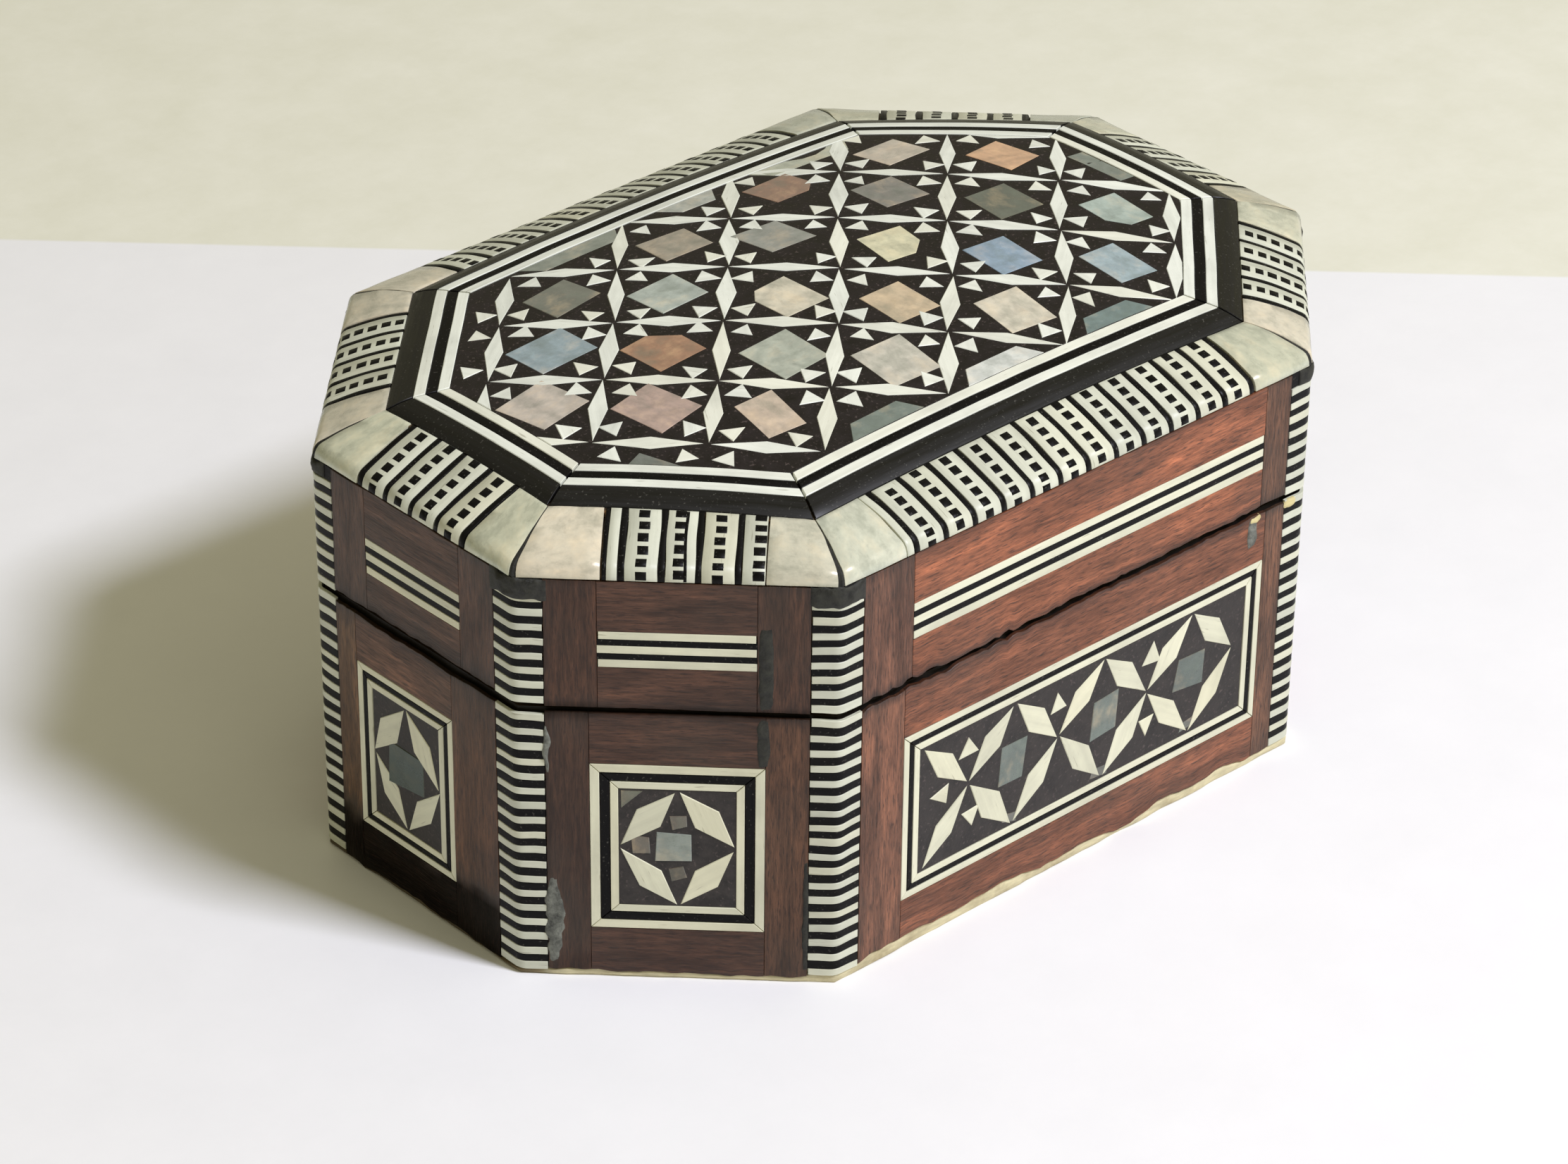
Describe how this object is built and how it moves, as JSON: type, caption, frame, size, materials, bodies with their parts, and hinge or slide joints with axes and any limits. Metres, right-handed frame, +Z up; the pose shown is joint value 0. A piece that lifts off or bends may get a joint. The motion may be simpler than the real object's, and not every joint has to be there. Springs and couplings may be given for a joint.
{
  "type": "octagonal inlaid jewellery box",
  "caption": "Octagonal wooden box with a crowned hinged lid, striped corner posts, inlaid side panels and a mosaic top of bone, ebony and pearl shell.",
  "frame": {"origin": "centre of the flat underside", "axes": "+Z up, +X along the length, -Y towards the front; the hinges are at +Y"},
  "size_m": [0.15, 0.1056, 0.0725],
  "materials": {
    "board_wood": "plain sawn hardwood",
    "veneer": "reddish-brown veneer with a worn satin varnish",
    "bone": "polished bone",
    "ebony": "black wood, satin",
    "pearl": "polished mother of pearl",
    "velvet": "dark red velvet",
    "brass": "aged brass"
  },
  "bodies": {
    "base": {"base_board": "board_wood", "base_floor_velvet": "velvet", "base_panel_border_bone": "bone", "base_panel_border_ebony": "ebony", "base_panel_ground": "ebony", "base_panel_pearl": "pearl", "base_panel_rhombi": "bone", "base_panel_triangles": "bone", "base_post_bone": "bone", "base_post_ebony": "ebony", "base_veneer_rails": "veneer", "base_veneer_stiles": "veneer", "base_wall_back": "board_wood", "base_wall_back_left": "board_wood", "base_wall_back_right": "board_wood", "base_wall_front": "board_wood", "base_wall_front_left": "board_wood", "base_wall_front_right": "board_wood", "base_wall_left": "board_wood", "base_wall_right": "board_wood", "base_wall_velvet": "velvet", "hinge_base_leaves": "brass", "hinge_base_nails": "brass", "hinge_pins": "brass"},
    "lid": {"hinge_lid_leaves": "brass", "hinge_lid_nails": "brass", "lid_bevel_ladders": "bone", "lid_bevel_lines": "ebony", "lid_bevel_mitres": "ebony", "lid_bevel_pearl": "pearl", "lid_bevel_squares": "ebony", "lid_border_band": "ebony", "lid_line_bone": "bone", "lid_line_ebony": "ebony", "lid_mosaic_ground": "ebony", "lid_mosaic_pearl": "pearl", "lid_mosaic_rhombi": "bone", "lid_mosaic_triangles": "bone", "lid_post_bone": "bone", "lid_post_ebony": "ebony", "lid_rim_back": "board_wood", "lid_rim_back_left": "board_wood", "lid_rim_back_right": "board_wood", "lid_rim_front": "board_wood", "lid_rim_front_left": "board_wood", "lid_rim_front_right": "board_wood", "lid_rim_left": "board_wood", "lid_rim_right": "board_wood", "lid_stringing_bone": "bone", "lid_stringing_ebony": "ebony", "lid_top_board": "board_wood", "lid_top_velvet": "velvet", "lid_veneer_rails": "veneer", "lid_veneer_stiles": "veneer", "lid_wall_velvet": "velvet"}
  },
  "joints": [
    {"name": "lid_hinge", "type": "hinge", "parent": "base", "child": "lid", "pos_m": [0, 0.05285, 0.043], "axis": [-1, 0, 0], "range_deg": [0, 100]}
  ]
}
